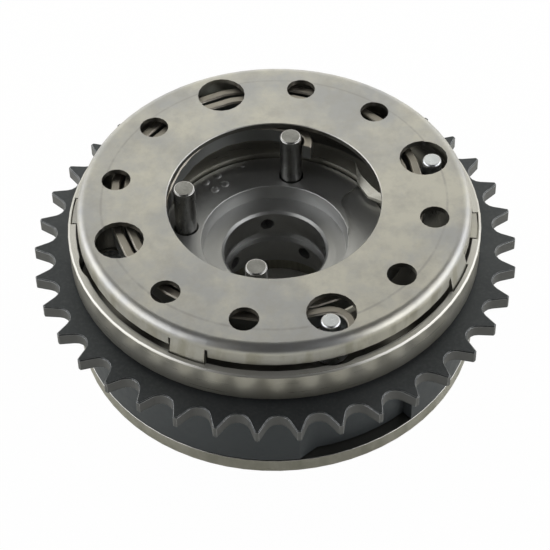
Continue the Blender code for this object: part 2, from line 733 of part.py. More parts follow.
def vane_rotor(material):
    """Hub with vanes, stepped oil bore, pin holes, oil drillings and a blind lock pin bore."""
    body = solid("vane_rotor", prism(rotor_outline(), BODY_BOTTOM, SPROCKET_TOP), material)
    boss = [
        (BOSS_RADIUS, SPROCKET_TOP - OVERRUN),
        (BOSS_RADIUS, FACE_TOP - BOSS_CHAMFER),
        (BOSS_RADIUS - BOSS_CHAMFER, FACE_TOP),
    ]
    join(body, solid("boss", turned(boss, LARGE_FACETS, closed=False)))
    seat_top = BODY_BOTTOM + CAMSHAFT_SEAT_DEPTH
    groove = BODY_BOTTOM + GROOVE_RISE
    bore = [
        (CAMSHAFT_SEAT_RADIUS, BODY_BOTTOM - OVERRUN),
        (CAMSHAFT_SEAT_RADIUS, seat_top),
        (BORE_RADIUS, seat_top),
        (BORE_RADIUS, groove),
        (BORE_RADIUS + GROOVE_DEPTH, groove),
        (BORE_RADIUS + GROOVE_DEPTH, groove + GROOVE_WIDTH),
        (BORE_RADIUS, groove + GROOVE_WIDTH),
        (BORE_RADIUS, CUP_FLOOR - BORE_CHAMFER),
        (BORE_RADIUS + BORE_CHAMFER, CUP_FLOOR),
        (CUP_RADIUS - CUP_TAPER, CUP_FLOOR),
        (CUP_RADIUS, FACE_TOP - CUP_CHAMFER),
        (CUP_RADIUS + CUP_CHAMFER, FACE_TOP),
        (CUP_RADIUS + CUP_CHAMFER + OVERRUN, FACE_TOP + OVERRUN),
    ]
    cut(body, solid("oil_bore", turned(bore, BORE_FACETS, closed=False)))
    tool = prism(recess_outline(), FACE_TOP - FACE_RECESS, FACE_TOP + OVERRUN)
    cut(body, solid("face_recess", tool))
    pin_floor = FACE_TOP - PIN_DEPTH - GAP
    for i in range(CHAMBERS - 1):
        tool = cylinder(PIN_RADIUS + GAP, pin_floor, FACE_TOP + OVERRUN, HOLE_FACETS)
        azimuth = PIN_AZIMUTH + QUARTER * i
        cut(body, place(solid(f"pin_hole_{i + 1}", tool), PIN_CIRCLE, azimuth, turn=azimuth))
    for i in range(CHAMBERS):
        upper = FIRST_VANE + UPPER_OIL_TURN + QUARTER * i
        lower = FIRST_VANE + LOWER_OIL_TURN + QUARTER * i
        oil_drilling(body, f"upper_oil_{i + 1}", upper, BODY_BOTTOM + UPPER_OIL_RISE)
        oil_drilling(body, f"lower_oil_{i + 1}", lower, BODY_BOTTOM + LOWER_OIL_RISE)
    tool = cylinder(LOCK_FLANGE + GAP, BODY_BOTTOM - OVERRUN, LOCK_BORE_TOP, HOLE_FACETS)
    cut(body, place(solid("lock_bore", tool), LOCK_CIRCLE, LOCK_AZIMUTH))
    for i, spot in enumerate(DOME_SPOTS):
        face_dome(body, f"dome_{i + 1}", spot, DOME_RADIUS)
    face_dome(body, "dot", DOT_SPOT, DOT_RADIUS)
    return body


def oil_drilling(body, name, azimuth, height):
    """A radial hole from the bore to the hub's outside."""
    start = BORE_RADIUS - OVERRUN
    tool = cylinder(OIL_HOLE, start, HUB_RADIUS + OVERRUN, DRILL_FACETS)
    lay = Matrix.Rotation(math.radians(90.0), 4, "Y")
    spin = Matrix.Rotation(math.radians(azimuth), 4, "Z")
    bmesh.ops.transform(tool, matrix=spin @ lay, verts=tool.verts)
    bmesh.ops.translate(tool, vec=(0, 0, height * MM), verts=tool.verts)
    cut(body, solid(name, tool))


def face_dome(body, name, spot, size):
    """A small raised dome on the rotor's front face, part of the way across it."""
    bm = bmesh.new()
    bmesh.ops.create_uvsphere(bm, u_segments=10, v_segments=6, radius=size * MM)
    bmesh.ops.scale(bm, vec=(1, 1, DOME_HEIGHT / DOME_RADIUS), verts=bm.verts)
    share, turn = spot
    radius = CUP_RADIUS + share * FACE_WIDTH
    join(body, place(solid(name, bm), radius, FIRST_VANE + turn, FACE_TOP))


def rotor_pin(number, material):
    """One of the three pins pressed into the rotor's face."""
    bottom = FACE_TOP - PIN_DEPTH
    profile = [
        (PIN_RADIUS - PIN_CHAMFER, bottom),
        (PIN_RADIUS, bottom + PIN_CHAMFER),
        (PIN_RADIUS, PIN_TOP - PIN_CHAMFER),
        (PIN_RADIUS - PIN_CHAMFER, PIN_TOP),
    ]
    pin = solid(f"rotor_pin_{number}", turned(profile, HOLE_FACETS, closed=False), material)
    azimuth = PIN_AZIMUTH + QUARTER * (number - 1)
    return place(pin, PIN_CIRCLE, azimuth, turn=azimuth)


def post_bolt(name, azimuth, material):
    """A collared bolt that clamps both plates. Two of them end in a pin for the spring."""
    collar_bottom = FRONT_FLOOR - SPOT_FACE_DEPTH + GAP
    under_strip = STRIP_BOTTOM - GAP
    tall = name in TALL_BOLTS
    collar_top = under_strip if tall else under_strip - SHORT_COLLAR_DROP
    tip_top = COVER_TOP - BOLT_TIP_DROP if tall else under_strip
    taper = BOLT_SHANK - BOLT_TIP
    profile = [
        (BOLT_SHANK - taper / 2, BOLT_END),
        (BOLT_SHANK, BOLT_END + taper / 2),
        (BOLT_SHANK, collar_bottom),
        (BOLT_COLLAR, collar_bottom),
        (BOLT_COLLAR, collar_top),
        (BOLT_TIP, collar_top),
        (BOLT_TIP, tip_top - PIN_CHAMFER),
        (BOLT_TIP - PIN_CHAMFER, tip_top),
    ]
    bolt = solid(f"post_bolt_{name}", turned(profile, BOLT_FACETS, closed=False), material)
    return place(bolt, BOLT_CIRCLE, azimuth, turn=azimuth)


def spiral_sweep():
    """Degrees wound from the anchor bolt inwards to the first rotor pin."""
    return FULL_TURN * SPIRAL_TURNS + (ANCHOR_AZIMUTH - PIN_AZIMUTH) % FULL_TURN


def spiral_lean(wound):
    """How far the coils stand outwards at one side, before this fades to nothing inside."""
    azimuth = ANCHOR_AZIMUTH - wound
    lean = SPIRAL_LEAN * math.cos(math.radians(azimuth - SPIRAL_LEAN_AZIMUTH))
    oval = SPIRAL_OVAL * math.cos(2 * math.radians(azimuth - SPIRAL_OVAL_AZIMUTH))
    return lean + oval


def spiral_radius(wound):
    """Centre-line radius after winding inwards by so many degrees."""
    share = wound / spiral_sweep()
    outer = BOLT_CIRCLE - OUTER_HOOK_RADIUS - spiral_lean(0.0)
    inner = PIN_CIRCLE + INNER_HOOK_RADIUS
    closing = (outer - inner) * share**SPIRAL_CLOSING
    left = min(spiral_sweep() - wound, SPIRAL_END_ANGLE) / SPIRAL_END_ANGLE
    end_wave = SPIRAL_END_WAVE * math.sin(math.tau * left)
    return outer - closing + spiral_lean(wound) * (1.0 - share**SPIRAL_FADE) + end_wave


def hook(azimuth, centre_radius, radius, outward, wrap):
    """A round hook about a pin: it leaves the spiral beside the pin and turns past it."""
    centre = Vector(polar(centre_radius, azimuth))
    radial = Vector(polar(1.0, azimuth)) * outward
    sideways = Vector((radial.y, -radial.x))
    points = []
    for i in range(1, HOOK_FACETS + 1):
        turn = math.radians(wrap * i / HOOK_FACETS)
        points.append(centre + (radial * math.cos(turn) + sideways * math.sin(turn)) * radius)
    return points


def spring_path():
    """The strip's centre line in plan, from the outer hook's end to the inner hook's end."""
    sweep = spiral_sweep()
    outer_hook = hook(ANCHOR_AZIMUTH, BOLT_CIRCLE, OUTER_HOOK_RADIUS, -1.0, OUTER_HOOK_WRAP)
    inner_hook = hook(PIN_AZIMUTH, PIN_CIRCLE, INNER_HOOK_RADIUS, 1.0, INNER_HOOK_WRAP)
    steps = round(sweep / SPIRAL_STEP)
    spiral = [
        Vector(polar(spiral_radius(sweep * i / steps), ANCHOR_AZIMUTH - sweep * i / steps))
        for i in range(steps + 1)
    ]
    return outer_hook[::-1] + spiral + inner_hook


def return_spring(material):
    """Flat spiral spring: one strip on edge, hooked on the anchor bolt and a rotor pin."""
    path = spring_path()
    frames = []
    for i, point in enumerate(path):
        ahead = path[min(i + 1, len(path) - 1)] - path[max(i - 1, 0)]
        across = Vector((-ahead.y, ahead.x, 0.0)).normalized()
        frames.append((Vector((point.x, point.y, 0.0)), across, Vector((0, 0, 1))))
    half = STRIP_THICKNESS / 2
    section = [
        (-half, STRIP_BOTTOM),
        (half, STRIP_BOTTOM),
        (half, STRIP_TOP - STRIP_CHAMFER),
        (half - STRIP_CHAMFER, STRIP_TOP),
        (-half + STRIP_CHAMFER, STRIP_TOP),
        (-half, STRIP_TOP - STRIP_CHAMFER),
    ]
    return solid("return_spring", swept(frames, section), material)


def vane_seal(number, material):
    """A sliding strip in a vane's slot, with a rounded outer edge."""
    outer = CHAMBER_RADIUS - GAP
    inner = outer - SEAL_HEIGHT
    half = SEAL_WIDTH / 2
    outline = [(inner, -half), (outer - SEAL_CORNER, -half), (outer, -half / 2)]
    outline += [(x, -y) for x, y in reversed(outline)]
    bm = prism(outline, BODY_BOTTOM + GAP, SPROCKET_TOP - GAP)
    seal = solid(f"vane_seal_{number}", bm, material)
    return place(seal, 0.0, 0.0, 0.0, FIRST_VANE + QUARTER * (number - 1))


def seal_spring(number, material):
    """A bowed leaf under a seal, which pushes it out against the chamber wall."""
    low = SLOT_FLOOR + GAP + LEAF_THICKNESS / 2
    high = CHAMBER_RADIUS - GAP - SEAL_HEIGHT - GAP - LEAF_THICKNESS / 2
    bottom = BODY_BOTTOM + LEAF_INSET
    length = SPROCKET_TOP - LEAF_INSET - bottom
    frames = []
    for i in range(LEAF_FACETS + 1):
        share = i / LEAF_FACETS
        bow = low + (high - low) * math.sin(math.pi * share)
        point = Vector((bow, 0.0, bottom + length * share))
        frames.append((point, Vector((0, 1, 0)), Vector((1, 0, 0))))
    half = SEAL_WIDTH / 2 - LEAF_SIDE_GAP
    thin = LEAF_THICKNESS / 2
    section = [(-half, -thin), (half, -thin), (half, thin), (-half, thin)]
    leaf = solid(f"seal_spring_{number}", swept(frames, section), material)
    return place(leaf, 0.0, 0.0, 0.0, FIRST_VANE + QUARTER * (number - 1))


def lock_pin(material):
    """Stepped piston with a pocket for its spring."""
    tip = BODY_BOTTOM
    top = tip + LOCK_LENGTH
    step = tip + LOCK_NOSE_LENGTH
    pocket = tip + LOCK_POCKET_RISE
    profile = [
        (LOCK_POCKET_RADIUS, pocket),
        (LOCK_POCKET_RADIUS, top),
        (LOCK_FLANGE - LOCK_CHAMFER, top),
        (LOCK_FLANGE, top - LOCK_CHAMFER),
        (LOCK_FLANGE, step),
        (LOCK_NOSE, step),
        (LOCK_NOSE, tip + LOCK_NOSE_CHAMFER),
        (LOCK_NOSE - LOCK_NOSE_CHAMFER, tip),
    ]
    pin = solid("lock_pin", turned(profile, HOLE_FACETS, closed=False), material)
    return place(pin, LOCK_CIRCLE, LOCK_AZIMUTH)


def lock_spring(material):
    """Small coil spring between the lock pin and the end of its bore."""
    bottom = BODY_BOTTOM + LOCK_POCKET_RISE + GAP + LOCK_WIRE
    top = LOCK_BORE_TOP - GAP - LOCK_WIRE
    steps = LOCK_COILS * LOCK_COIL_STEPS
    frames = []
    for i in range(steps + 1):
        turn = math.tau * i / LOCK_COIL_STEPS
        outward = Vector((math.cos(turn), math.sin(turn), 0.0))
        height = Vector((0, 0, bottom + (top - bottom) * i / steps))
        frames.append((outward * LOCK_COIL_RADIUS + height, outward, Vector((0, 0, 1))))
    corners = [math.tau * k / WIRE_FACETS for k in range(WIRE_FACETS)]
    section = [(LOCK_WIRE * math.cos(turn), LOCK_WIRE * math.sin(turn)) for turn in corners]
    coil = solid("lock_spring", swept(frames, section), material)
    return place(coil, LOCK_CIRCLE, LOCK_AZIMUTH)


def lock_bush(material):
    """Guide ring in the rotor's back that holds the lock pin in its bore."""
    bore = LOCK_NOSE + GAP
    top = BODY_BOTTOM + LOCK_SHOULDER_RISE
    profile = [
        (bore, BODY_BOTTOM),
        (LOCK_FLANGE, BODY_BOTTOM),
        (LOCK_FLANGE, top),
        (bore, top),
    ]
    bush = solid("lock_bush", turned(profile, HOLE_FACETS), material)
    return place(bush, LOCK_CIRCLE, LOCK_AZIMUTH)


def lock_seat(material):
    """Hardened bush in the rear plate that the lock pin drops into."""
    top = REAR_PLATE_THICKNESS
    bottom = top - SEAT_DEPTH
    profile = [
        (SEAT_INNER, bottom),
        (SEAT_OUTER, bottom),
        (SEAT_OUTER, top),
        (SEAT_INNER + SEAT_CHAMFER, top),
        (SEAT_INNER, top - SEAT_CHAMFER),
    ]
    bush = solid("lock_seat", turned(profile, HOLE_FACETS), material)
    return place(bush, LOCK_CIRCLE, LOCK_AZIMUTH)


def clear_scene():
    for obj in list(bpy.data.objects):
        bpy.data.objects.remove(obj, do_unlink=True)


def main():
    clear_scene()
    pressed_steel = metal("pressed_steel", (0.56, 0.55, 0.53), 0.32)
    turned_steel = metal("turned_steel", (0.50, 0.49, 0.46), 0.30)
    dark_steel = metal("dark_steel", (0.075, 0.085, 0.095), 0.42, 0.85)
    plate_steel = metal("plate_steel", (0.36, 0.35, 0.32), 0.40)
    rotor_steel = metal("rotor_steel", (0.22, 0.22, 0.22), 0.28)
    pin_steel = metal("pin_steel", (0.68, 0.67, 0.65), 0.25)
    spring_steel = metal("spring_steel", (0.30, 0.28, 0.25), 0.38)
    seal_plastic = metal("seal_plastic", (0.09, 0.08, 0.07), 0.55, 0.0)
    sprocket_housing(dark_steel)
    front_plate(turned_steel)
    rear_plate(plate_steel)
    spring_cover(pressed_steel)
    return_spring(spring_steel)
    vane_rotor(rotor_steel)
    for name, azimuth in BOLT_AZIMUTHS.items():
        post_bolt(name, azimuth, pin_steel)
    for number in range(1, CHAMBERS):
        rotor_pin(number, pin_steel)
    for number in range(1, CHAMBERS + 1):
        vane_seal(number, seal_plastic)
        seal_spring(number, spring_steel)
    lock_pin(pin_steel)
    lock_spring(spring_steel)
    lock_bush(pin_steel)
    lock_seat(pin_steel)


main()
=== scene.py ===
import json
import math

import bmesh
import bpy
from mathutils import Matrix, Vector


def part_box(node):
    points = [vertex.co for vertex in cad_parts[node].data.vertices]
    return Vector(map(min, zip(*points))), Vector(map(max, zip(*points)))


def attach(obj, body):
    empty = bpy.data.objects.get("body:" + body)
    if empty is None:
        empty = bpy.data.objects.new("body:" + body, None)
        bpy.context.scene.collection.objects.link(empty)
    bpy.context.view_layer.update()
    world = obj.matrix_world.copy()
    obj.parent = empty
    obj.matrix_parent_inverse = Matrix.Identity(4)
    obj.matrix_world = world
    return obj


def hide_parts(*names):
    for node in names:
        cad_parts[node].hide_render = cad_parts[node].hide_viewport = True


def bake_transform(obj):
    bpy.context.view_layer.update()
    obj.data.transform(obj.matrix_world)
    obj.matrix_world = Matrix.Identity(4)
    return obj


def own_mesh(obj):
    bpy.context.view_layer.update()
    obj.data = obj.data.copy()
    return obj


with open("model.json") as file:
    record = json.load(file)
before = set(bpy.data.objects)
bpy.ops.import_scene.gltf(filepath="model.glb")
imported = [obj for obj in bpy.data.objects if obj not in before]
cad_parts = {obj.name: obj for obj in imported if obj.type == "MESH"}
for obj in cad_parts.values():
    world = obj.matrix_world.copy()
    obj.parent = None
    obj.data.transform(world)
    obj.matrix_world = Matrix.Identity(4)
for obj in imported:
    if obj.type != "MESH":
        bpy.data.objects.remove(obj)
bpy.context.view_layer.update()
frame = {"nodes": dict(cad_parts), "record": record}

NODES = frame["nodes"]
RECORD = frame["record"]
SLOT_OF = {part["node"]: part["material_slot"] for part in RECORD["subparts"]}
BODY_OF = {node: body for body, nodes in RECORD["behaviour"]["bodies"].items() for node in nodes}
MM = 0.001
WHITE = (1.0, 1.0, 1.0)

# Camera fitted to the photograph: angles in degrees, place in metres
ELEVATION = 47.768
ROLL = -1.329
FOCAL_PIXELS = 2145.0
IMAGE_PIXELS = 550.0
SENSOR = 36.0
CAMERA_PLACE = (-0.000130, -0.305506, 0.349861)
CAMERA_CLIP = (0.01, 10.0)

# Studio
CARD_COLOUR = (0.02, 0.02, 0.02)
CARD_GAP = 0.005
ROOM_LIGHT = 0.12
FLOOR_COLOUR = (0.80, 0.79, 0.74)
FLOOR_HALF = 2.0
FLOOR_DROP = 0.1 * MM
FLOOR_DARK_RADIUS = 30.0 * MM
FLOOR_GLOW = 0.985
FLOOR_GLOW_IN_METAL = 0.05

# Where a look changes on the part: the two ends of a fade, or one place
CREASE_RADIUS = 35.3 * MM
CREASE_WIDTH = (0.35 * MM, 0.08 * MM)
SHADED_HOLE_WALL_RADIUS = (37.0 * MM, 36.0 * MM)
LIT_RIM_TOP_HEIGHT = (30.2 * MM, 30.6 * MM)
SHADED_RIM_FOOT_HEIGHT = (27.6 * MM, 23.6 * MM)
RIM_OUTER_RADIUS = (41.0 * MM, 42.0 * MM)
SHADED_WELL_OUTER_RADIUS = (40.9 * MM, 40.6 * MM)
SHADED_WELL_INNER_RADIUS = (27.2 * MM, 27.6 * MM)
WHEEL_HEIGHT = (20.2 * MM, 20.8 * MM)
DULL_EDGE_HEIGHT = (20.3 * MM, 20.1 * MM)
SHADED_UNDER_DRUM_RADIUS = (42.2 * MM, 42.0 * MM)
PLATED_RADIUS = (22.0 * MM, 28.0 * MM)

# Parts of a noise or of a direction that a look uses
CLOUDS = (0.35, 0.7)
GRAIN = (0.3, 0.7)
UPRIGHT = (0.5, 0.2)
UPWARD = (0.5, 0.9)

# Rounded edges: facets closer in direction than the smooth angle are one surface
SMOOTH_ANGLE = math.radians(30.0)
FLAT_ANGLE = math.radians(0.6)
WELD = 0.001 * MM
EDGE_SEGMENTS = 2
NORMAL_WEIGHT = 60

# Springs: angles are measured from the rotor's pin that holds the inner hook
ARC_SPAN = math.radians(165.0)
COIL_WIDTH = 2.4 * MM
CUT_SNAP = 0.0001 * MM


def link(piece):
    bpy.context.scene.collection.objects.link(piece)
    return piece


def add_camera():
    camera = bpy.data.cameras.new("camera")
    camera.sensor_width = SENSOR
    camera.lens = FOCAL_PIXELS / IMAGE_PIXELS * SENSOR
    camera.clip_start, camera.clip_end = CAMERA_CLIP
    tilt, roll = math.radians(ELEVATION), math.radians(ROLL)
    forward = Vector((0.0, math.cos(tilt), -math.sin(tilt)))
    right = Vector((1.0, 0.0, 0.0))
    down = forward.cross(right)
    across = right * math.cos(roll) - down * math.sin(roll)
    below = right * math.sin(roll) + down * math.cos(roll)
    pose = Matrix((across, -below, -forward)).transposed().to_4x4()
    pose.translation = Vector(CAMERA_PLACE)
    holder = link(bpy.data.objects.new("camera", camera))
    holder.matrix_world = pose
    bpy.context.scene.camera = holder


def matt_material(name, colour, roughness, specular):
    material = bpy.data.materials.new(name)
    material.use_nodes = True
    shader = material.node_tree.nodes["Principled BSDF"]
    shader.inputs["Base Color"].default_value = (*colour, 1.0)
    shader.inputs["Roughness"].default_value = roughness
    shader.inputs["Specular IOR Level"].default_value = specular
    return material


def stage_card(name, corners, material):
    """A flat four-cornered card that belongs to the studio, not to the part."""
    mesh = bpy.data.meshes.new(name)
    mesh.from_pydata(corners, [], [(0, 1, 2, 3)])
    mesh.materials.append(material)
    card = link(bpy.data.objects.new(name, mesh))
    return card


def flag(name, corners):
    """A black card that only mirrors see: it gives metal its dark side."""
    card = stage_card(name, corners, matt_material(f"{name}_look", CARD_COLOUR, 1.0, 0.0))
    card.visible_camera = False
    card.visible_diffuse = False
    card.visible_shadow = False


def softbox(name, place, target, size, radiance, tint=WHITE, mirrored=True):
    """A rectangular light of this radiance, turned to its target. Metal sees its black back."""
    width, height = size
    light = bpy.data.lights.new(name, "AREA")
    light.shape = "RECTANGLE"
    light.size, light.size_y = size
    light.energy = radiance * math.pi * width * height
    light.color = tint
    holder = link(bpy.data.objects.new(name, light))
    turn = (Vector(target) - Vector(place)).to_track_quat("-Z", "Y")
    holder.location = place
    holder.rotation_euler = turn.to_euler()
    holder.visible_glossy = mirrored
    if mirrored:
        signs = ((-1, -1), (1, -1), (1, 1), (-1, 1))
        spots = [Vector((x * width / 2, y * height / 2, CARD_GAP)) for x, y in signs]
        flag(f"{name}_back", [turn @ spot + Vector(place) for spot in spots])


def ray_share(tree, camera, mirror):
    """A share for the rays of the camera and another for those that metal and glass send on."""
    path = tree.nodes.new("ShaderNodeLightPath")
    shares = {
        "Is Camera Ray": camera,
        "Is Glossy Ray": mirror,
        "Is Transmission Ray": mirror,
    }
    total = None
    for kind, share in shares.items():
        part = tree.nodes.new("ShaderNodeMath")
        part.operation = "MULTIPLY_ADD"
        part.use_clamp = True
        tree.links.new(path.outputs[kind], part.inputs[0])
        part.inputs[1].default_value = share
        part.inputs[2].default_value = 0.0
        if total:
            tree.links.new(total, part.inputs[2])
        total = part.outputs[0]
    return total


def add_world():
    """White to the camera and in mirrors, dim to everything else."""
    world = bpy.data.worlds.new("studio")
    world.use_nodes = True
    bpy.context.scene.world = world
    tree = world.node_tree
    tree.nodes.clear()
    output = tree.nodes.new("ShaderNodeOutputWorld")
    mix = tree.nodes.new("ShaderNodeMixShader")
    tree.links.new(ray_share(tree, 1.0, 1.0), mix.inputs[0])
    for socket, strength in ((1, ROOM_LIGHT), (2, 1.0)):
        light = tree.nodes.new("ShaderNodeBackground")
        light.inputs["Color"].default_value = (*WHITE, 1.0)
        light.inputs["Strength"].default_value = strength
        tree.links.new(light.outputs[0], mix.inputs[socket])
    tree.links.new(mix.outputs[0], output.inputs["Surface"])


def add_floor():
    """A pale floor that glows nearly white to the camera, except under the part's middle."""
    half = FLOOR_HALF
    corners = [(-half, -half, 0), (half, -half, 0), (half, half, 0), (-half, half, 0)]
    material = matt_material("floor_look", FLOOR_COLOUR, 0.9, 0.1)
    floor = stage_card("floor", corners, material)
    floor.location.z = -FLOOR_DROP
    tree = material.node_tree
    paper = tree.nodes["Principled BSDF"]
    glow = tree.nodes.new("ShaderNodeEmission")
    place = tree.nodes.new("ShaderNodeTexCoord")
    reach = tree.nodes.new("ShaderNodeVectorMath")
    reach.operation = "LENGTH"
    tree.links.new(place.outputs["Object"], reach.inputs[0])
    outside = tree.nodes.new("ShaderNodeMath")
    outside.operation = "GREATER_THAN"
    outside.inputs[1].default_value = FLOOR_DARK_RADIUS
    tree.links.new(reach.outputs["Value"], outside.inputs[0])
    seen = tree.nodes.new("ShaderNodeMath")
    seen.operation = "MULTIPLY"
    tree.links.new(ray_share(tree, FLOOR_GLOW, FLOOR_GLOW_IN_METAL), seen.inputs[0])
    tree.links.new(outside.outputs[0], seen.inputs[1])
    mix = tree.nodes.new("ShaderNodeMixShader")
    tree.links.new(seen.outputs[0], mix.inputs[0])
    tree.links.new(paper.outputs[0], mix.inputs[1])
    tree.links.new(glow.outputs[0], mix.inputs[2])
    tree.links.new(mix.outputs[0], tree.nodes["Material Output"].inputs["Surface"])


class Look:
    """A material under construction: its node tree and the sockets that it is built from."""

    def __init__(self, name):
        self.material = bpy.data.materials.new(name)
        self.material.use_nodes = True
        self.tree = self.material.node_tree
        self.shader = self.tree.nodes["Principled BSDF"]
        self.place = self.node("ShaderNodeTexCoord").outputs["Object"]
        self.x, self.y, self.z = self.node("ShaderNodeSeparateXYZ", Vector=self.place).outputs
        squares = [self.math("POWER", side, 2.0) for side in (self.x, self.y)]
        self.radius = self.math("SQRT", self.math("ADD", *squares))
        self.turn = self.math("ARCTAN2", self.y, self.x)
        normal = self.node("ShaderNodeNewGeometry").outputs["Normal"]
        self.facing = self.node("ShaderNodeSeparateXYZ", Vector=normal).outputs[2]

    def node(self, kind, **inputs):
        made = self.tree.nodes.new(kind)
        for key, value in inputs.items():
            self.feed(made.inputs[key], value)
        return made

    def feed(self, socket, value):
        if isinstance(value, bpy.types.NodeSocket):
            self.tree.links.new(value, socket)
        else:
            socket.default_value = value

    def feed_colour(self, socket, value):
        is_socket = isinstance(value, bpy.types.NodeSocket)
        self.feed(socket, value if is_socket else (*value, 1.0))

    def math(self, operation, first, second=0.0):
        made = self.tree.nodes.new("ShaderNodeMath")
        made.operation = operation
        self.feed(made.inputs[0], first)
        self.feed(made.inputs[1], second)
        return made.outputs[0]

    def both(self, first, second):
        return self.math("MULTIPLY", first, second)

    def noise(self, scale, detail, vector=None, roughness=0.5):
        inputs = {"Scale": scale, "Detail": detail, "Roughness": roughness}
        made = self.node("ShaderNodeTexNoise", Vector=vector or self.place, **inputs)
        return made.outputs["Fac"]

    def polar(self, across, around, along):
        """Coordinates that run out from the axis, round it and up it, each with its own scale."""
        made = self.tree.nodes.new("ShaderNodeCombineXYZ")
        self.feed(made.inputs[0], self.both(self.radius, across))
        self.feed(made.inputs[1], self.both(self.turn, around))
        self.feed(made.inputs[2], self.both(self.z, along))
        return made.outputs[0]

    def band(self, value, low, high, to_low=0.0, to_high=1.0):
        """Value carried from one range to another, held at both ends."""
        made = self.tree.nodes.new("ShaderNodeMapRange")
        for socket, item in zip(made.inputs, (value, low, high, to_low, to_high)):
            self.feed(socket, item)
        return made.outputs[0]

    def upright(self):
        """One on faces that stand along the axis, nothing on flat ones."""
        return self.band(self.math("ABSOLUTE", self.facing), *UPRIGHT)

    def mix(self, share, first, second):
        made = self.tree.nodes.new("ShaderNodeMix")
        made.data_type = "RGBA"
        self.feed(made.inputs["Factor"], share)
        self.feed_colour(made.inputs["A"], first)
        self.feed_colour(made.inputs["B"], second)
        return made.outputs["Result"]

    def bump(self, height, strength, distance, below=None):
        inputs = {"Height": height, "Strength": strength, "Distance": distance}
        made = self.node("ShaderNodeBump", **inputs)
        if below:
            self.feed(made.inputs["Normal"], below)
        return made.outputs[0]

    def finish(self, colour, roughness, metallic, normal):
        self.feed_colour(self.shader.inputs["Base Color"], colour)
        self.feed(self.shader.inputs["Roughness"], roughness)
        self.feed(self.shader.inputs["Metallic"], metallic)
        self.feed(self.shader.inputs["Normal"], normal)
        return self.material


def pressed_steel():
    """Cold-rolled sheet: warm grey, faint bluish clouds, fine grain, a thin line of painted shade
    along the crease, painted shade on the hole walls.
    """
    look = Look("pressed_steel_look")
    clouds = look.band(look.noise(46.0, 7.0, roughness=0.66), 0.42, 0.58)
    small = look.noise(230.0, 6.0, roughness=0.7)
    colour = look.mix(clouds, (0.64, 0.625, 0.56), (0.51, 0.515, 0.515))
    colour = look.mix(look.band(small, 0.45, 0.68, 0.0, 0.6), colour, (0.47, 0.46, 0.43))
    upright = look.upright()
    streaks = look.noise(1.0, 4.0, look.polar(0.0, 11.0, 90.0))
    smudge = look.band(streaks, 0.48, 0.62, 0.0, 0.7)
    colour = look.mix(look.both(upright, 0.45), colour, (0.56, 0.55, 0.46))
    colour = look.mix(look.both(upright, smudge), colour, (0.38, 0.365, 0.29))
    # Painted shade: upright hole walls inside the cover are darkened as if in shadow
    hole_wall_shade = look.both(upright, look.band(look.radius, *SHADED_HOLE_WALL_RADIUS))
    colour = look.mix(look.both(hole_wall_shade, 0.9), colour, (0.15, 0.145, 0.13))
    # Painted shade: a thin, broken dark line along the crease where the flat top turns into the
    # bend
    off_line = look.math("ABSOLUTE", look.math("SUBTRACT", look.radius, CREASE_RADIUS))
    broken = look.band(small, 0.38, 0.52, 0.15, 0.6)
    line = look.both(look.band(off_line, *CREASE_WIDTH), broken)
    colour = look.mix(line, colour, (0.40, 0.39, 0.38))
    grain = look.noise(2600.0, 2.0)
    rough = look.band(look.noise(90.0, 5.0), *GRAIN, 0.30, 0.40)
    normal = look.bump(grain, 0.05, 0.05 * MM)
    normal = look.bump(look.noise(26.0, 2.0), 0.06, 0.6 * MM, normal)
    return look.finish(colour, rough, 0.88, normal)


def turned_steel():
    """Turned plate: circular marks, soft brown streaks down its side, a painted highlight on its
    rim top, painted shade on the floor inside its rim and at the bottom of its rim wall.
    """
    look = Look("turned_steel_look")
    streaks = look.band(look.noise(1.0, 3.0, look.polar(0.0, 9.0, 60.0)), *CLOUDS)
    clouds = look.band(look.noise(60.0, 4.0), *CLOUDS)
    side = look.mix(streaks, (0.59, 0.58, 0.515), (0.50, 0.485, 0.41))
    colour = look.mix(look.both(clouds, 0.4), side, (0.46, 0.45, 0.41))
    # Painted light: the narrow top of the rim is painted lighter, as a lit face
    colour = look.mix(look.band(look.z, *LIT_RIM_TOP_HEIGHT), colour, (0.72, 0.71, 0.67))
    # Painted shade: the rim wall darkens downwards where it meets the chain wheel
    foot_shade = look.band(look.z, *SHADED_RIM_FOOT_HEIGHT, 0.0, 0.75)
    foot_shade = look.both(foot_shade, look.band(look.radius, *RIM_OUTER_RADIUS))
    colour = look.mix(foot_shade, colour, (0.16, 0.155, 0.13))
    # Painted shade: the plate's floor under the cover, between the rim and the opening, is painted
    # nearly black
    well_shade = look.band(look.radius, *SHADED_WELL_OUTER_RADIUS)
    well_shade = look.both(well_shade, look.band(look.radius, *SHADED_WELL_INNER_RADIUS))
    colour = look.mix(look.both(well_shade, 0.85), colour, (0.07, 0.068, 0.06))
    marks = look.noise(1.0, 2.0, look.polar(5200.0, 3.0, 5200.0))
    rough = look.band(marks, *GRAIN, 0.27, 0.34)
    return look.finish(colour, rough, 0.74, look.bump(marks, 0.03, 0.02 * MM))


